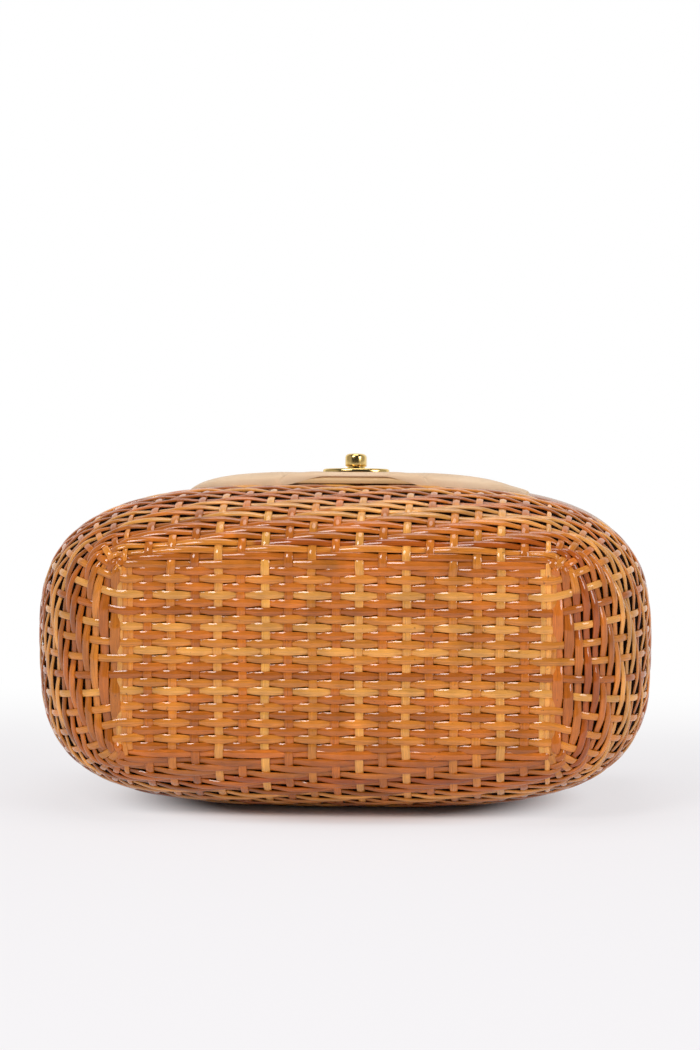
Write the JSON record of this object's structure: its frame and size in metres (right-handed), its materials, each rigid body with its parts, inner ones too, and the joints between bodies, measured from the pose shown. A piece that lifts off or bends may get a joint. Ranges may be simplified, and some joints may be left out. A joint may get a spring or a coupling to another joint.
{
  "type": "basket box bag",
  "caption": "Box bag with a woven cane basket body, a hinged padded leather lid, a front flap closed by a turn lock, and a swinging top handle.",
  "frame": {"origin": "middle of the underside of the bag as it lies on its back", "axes": "+X along the width, to the right of someone who looks at the front with the base towards them; +Y from the base to the lid; +Z from the back to the front, which is up while the bag lies on its back"},
  "size_m": [0.2898, 0.1684, 0.1654],
  "materials": {
    "cane": "gloss varnish",
    "lining": "matt cloth",
    "hoop": "gloss varnish",
    "board": "plain",
    "leather": "smooth",
    "leather_backing": "smooth",
    "brass": "polished"
  },
  "bodies": {
    "basket": {"basket_body": "cane", "basket_lining": "lining", "rim_hoop_outer": "hoop", "rim_hoop_inner": "hoop", "hinge_leaf_body_left": "brass", "hinge_leaf_body_right": "brass", "hinge_pin_left": "brass", "hinge_pin_right": "brass", "hinge_screws_body": "brass", "keeper": "brass", "keeper_rivets": "brass"},
    "lid": {"hinge_leaf_lid_left": "brass", "hinge_leaf_lid_right": "brass", "hinge_screws_lid": "brass", "lid_board": "board", "lid_cover": "leather", "lid_lining": "lining", "front_flap": "leather", "flap_backing": "leather_backing", "lock_plate": "brass", "lock_back_plate": "brass", "handle_lug_left": "brass", "handle_lug_right": "brass", "handle_pin_left": "brass", "handle_pin_right": "brass"},
    "knob": {"lock_knob": "brass", "lock_tongue": "brass"},
    "handle": {"handle_grip": "leather", "handle_eye_left": "brass", "handle_eye_right": "brass"}
  },
  "joints": [
    {"name": "lid_hinge", "type": "hinge", "parent": "basket", "child": "lid", "pos_m": [0, 0.05503, 0.0032], "axis": [-1, 0, 0], "range_deg": [0, 95]},
    {"name": "knob_turn", "type": "hinge", "parent": "lid", "child": "knob", "pos_m": [0.004, -0.00247, 0.156], "axis": [0, -0.1072, -0.9942], "range_deg": [0, 90]},
    {"name": "handle_swing", "type": "hinge", "parent": "lid", "child": "handle", "pos_m": [0, 0.07838, 0.0758], "axis": [1, 0, 0], "range_deg": [0, 180]}
  ]
}
